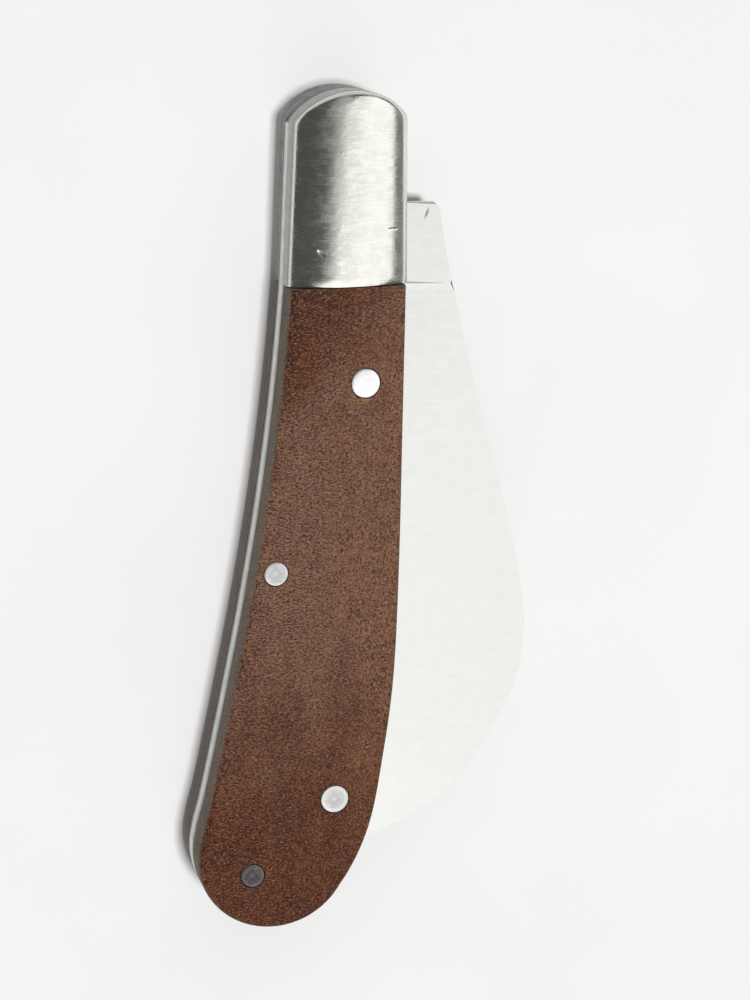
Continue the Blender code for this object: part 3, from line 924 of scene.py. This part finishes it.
def make_world():
    """A dim room with a bright ring about X and two bright ends along Y, pale to the camera."""
    world = bpy.data.worlds.new("studio")
    bpy.context.scene.world = world
    world.use_nodes = True
    tree = world.node_tree
    direction = tree.nodes.new("ShaderNodeTexCoord")
    parts = tree.nodes.new("ShaderNodeSeparateXYZ")
    tree.links.new(direction.outputs["Generated"], parts.inputs[0])
    share = tree.nodes.new("ShaderNodeMapRange")
    share.inputs["From Min"].default_value = -1.0
    tree.links.new(parts.outputs["X"], share.inputs["Value"])
    ramp = tree.nodes.new("ShaderNodeValToRGB")
    ramp.color_ramp.interpolation = "EASE"
    elements = ramp.color_ramp.elements
    elements.remove(elements[-1])
    elements[0].color = neutral(ROOM_TONES[0][1])
    for x, tone in ROOM_TONES:
        elements.new((x + 1) / 2).color = neutral(tone)
    tree.links.new(share.outputs["Result"], ramp.inputs["Fac"])
    lengthwise = tree.nodes.new("ShaderNodeMath")
    lengthwise.operation = "ABSOLUTE"
    tree.links.new(parts.outputs["Y"], lengthwise.inputs[0])
    end_share = tree.nodes.new("ShaderNodeMapRange")
    end_share.interpolation_type = "SMOOTHSTEP"
    end_share.inputs["From Min"].default_value = ROOM_END_START
    end_share.inputs["From Max"].default_value = ROOM_END_FULL
    tree.links.new(lengthwise.outputs[0], end_share.inputs["Value"])
    room = tree.nodes.new("ShaderNodeMix")
    room.data_type = "RGBA"
    tree.links.new(end_share.outputs["Result"], room.inputs[0])
    tree.links.new(ramp.outputs["Color"], room.inputs[6])
    room.inputs[7].default_value = neutral(ROOM_END_TONE)
    path = tree.nodes.new("ShaderNodeLightPath")
    choose = tree.nodes.new("ShaderNodeMix")
    choose.data_type = "RGBA"
    tree.links.new(path.outputs["Is Camera Ray"], choose.inputs[0])
    tree.links.new(room.outputs[2], choose.inputs[6])
    choose.inputs[7].default_value = neutral(BACKDROP_TONE)
    tree.links.new(choose.outputs[2], tree.nodes["Background"].inputs["Color"])


def facing(place, aim):
    """The pose of a camera or light at place that looks at aim, its top side towards +Y."""
    ahead = (Vector(aim) - Vector(place)).normalized()
    right = ahead.cross(Vector((0.0, 1.0, 0.0))).normalized()
    up = right.cross(ahead)
    return Matrix.Translation(place) @ Matrix((right, up, -ahead)).transposed().to_4x4()


def make_light(name, place, size, turn, radiance, kind):
    """A rectangular soft light of a given radiance, facing the origin, turned in its own plane."""
    data = bpy.data.lights.new(name, "AREA")
    data.shape = "RECTANGLE"
    data.size, data.size_y = size
    data.energy = radiance * math.pi * size[0] * size[1]
    light = bpy.data.objects.new(name, data)
    in_plane = Matrix.Rotation(math.radians(turn), 4, "Z")
    light.matrix_world = facing(place, (0.0, 0.0, 0.0)) @ in_plane
    light.visible_glossy = kind == "glossy"
    light.visible_diffuse = kind == "diffuse"
    bpy.context.scene.collection.objects.link(light)


def make_lights():
    """One light that the metal mirrors, and a nearly overhead one that lights wood and floor."""
    softbox = (SOFTBOX_PLACE, SOFTBOX_SIZE, SOFTBOX_TURN, SOFTBOX_RADIANCE)
    make_light("softbox", *softbox, "glossy")
    make_light("overhead", OVERHEAD_PLACE, OVERHEAD_SIZE, 0.0, OVERHEAD_RADIANCE, "diffuse")


def make_camera():
    data = bpy.data.cameras.new("camera")
    data.lens = CAMERA_LENS
    data.clip_start = 0.01
    data.clip_end = 20.0
    camera = bpy.data.objects.new("camera", data)
    camera.matrix_world = facing(CAMERA_PLACE, CAMERA_AIM)
    bpy.context.scene.collection.objects.link(camera)
    bpy.context.scene.camera = camera


def main():
    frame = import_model()
    wood = wood_material()
    bolster = steel_material(
        "bolster_steel",
        dark=(0.79, 0.79, 0.725),
        light=(0.83, 0.83, 0.765),
        grain=(2.5, 0.16, 0.5),
        roughness=(0.16, 0.29),
        bump=0.0010,
        dents=18.0,
        # upright walls: painted shade, darkest on the rear half
        painted_wall_shade=((0.29, 0.29, 0.275), (0.08, 0.070, 0.074)),
        nicks=BOLSTER_NICKS,
    )
    blade = steel_material(
        "blade_steel",
        dark=(0.705, 0.705, 0.683),
        light=(0.728, 0.728, 0.706),
        grain=(6.0, 0.2, 0.5),
        roughness=(0.22, 0.24),
        bump=0.0004,
        nicks=BLADE_NICKS,
        stain=0.8,
    )
    liner = steel_material(
        "liner_steel",
        dark=(0.60, 0.61, 0.60),
        light=(0.70, 0.71, 0.69),
        grain=(0.12, 3.0, 0.12),
        roughness=(0.3, 0.45),
        bump=0.003,
        # upright walls: painted shade, darkest on the rear half
        painted_wall_shade=((0.46, 0.46, 0.44), (0.24, 0.23, 0.23)),
    )
    spring = steel_material(
        "spring_steel",
        dark=(0.50, 0.51, 0.50),
        light=(0.64, 0.65, 0.63),
        grain=(0.12, 3.0, 0.12),
        roughness=(0.3, 0.45),
        bump=0.003,
    )
    # One pin aluminium in three copies: the grey and the dark one are painted shade, and every rim
    # colour a painted highlight
    bright_pin = pin_material("pin_aluminium", face=(0.89, 0.89, 0.89), rim=(0.90, 0.90, 0.90))
    half_shade_pin = pin_material("pin_aluminium_half_shade", face=(0.46, 0.46, 0.45), rim=(0.66, 0.66, 0.66))
    deep_shade_pin = pin_material(
        "pin_aluminium_deep_shade", face=(0.064, 0.056, 0.056), rim=(0.15, 0.14, 0.14)
    )
    make_scales(wood)
    make_liners(liner)
    make_bolsters(bolster)
    make_backspring(spring)
    make_blade(blade)
    make_pins(bright_pin, half_shade_pin, deep_shade_pin)
    for name in ("pivot_pin", "front_bolster_rivet", "rear_bolster_rivet"):
        node = frame["nodes"][name]
        node.data.materials.clear()
        node.data.materials.append(bolster)
    make_floor()
    make_world()
    make_lights()
    make_camera()
    bpy.context.scene.view_settings.view_transform = "Standard"


main()
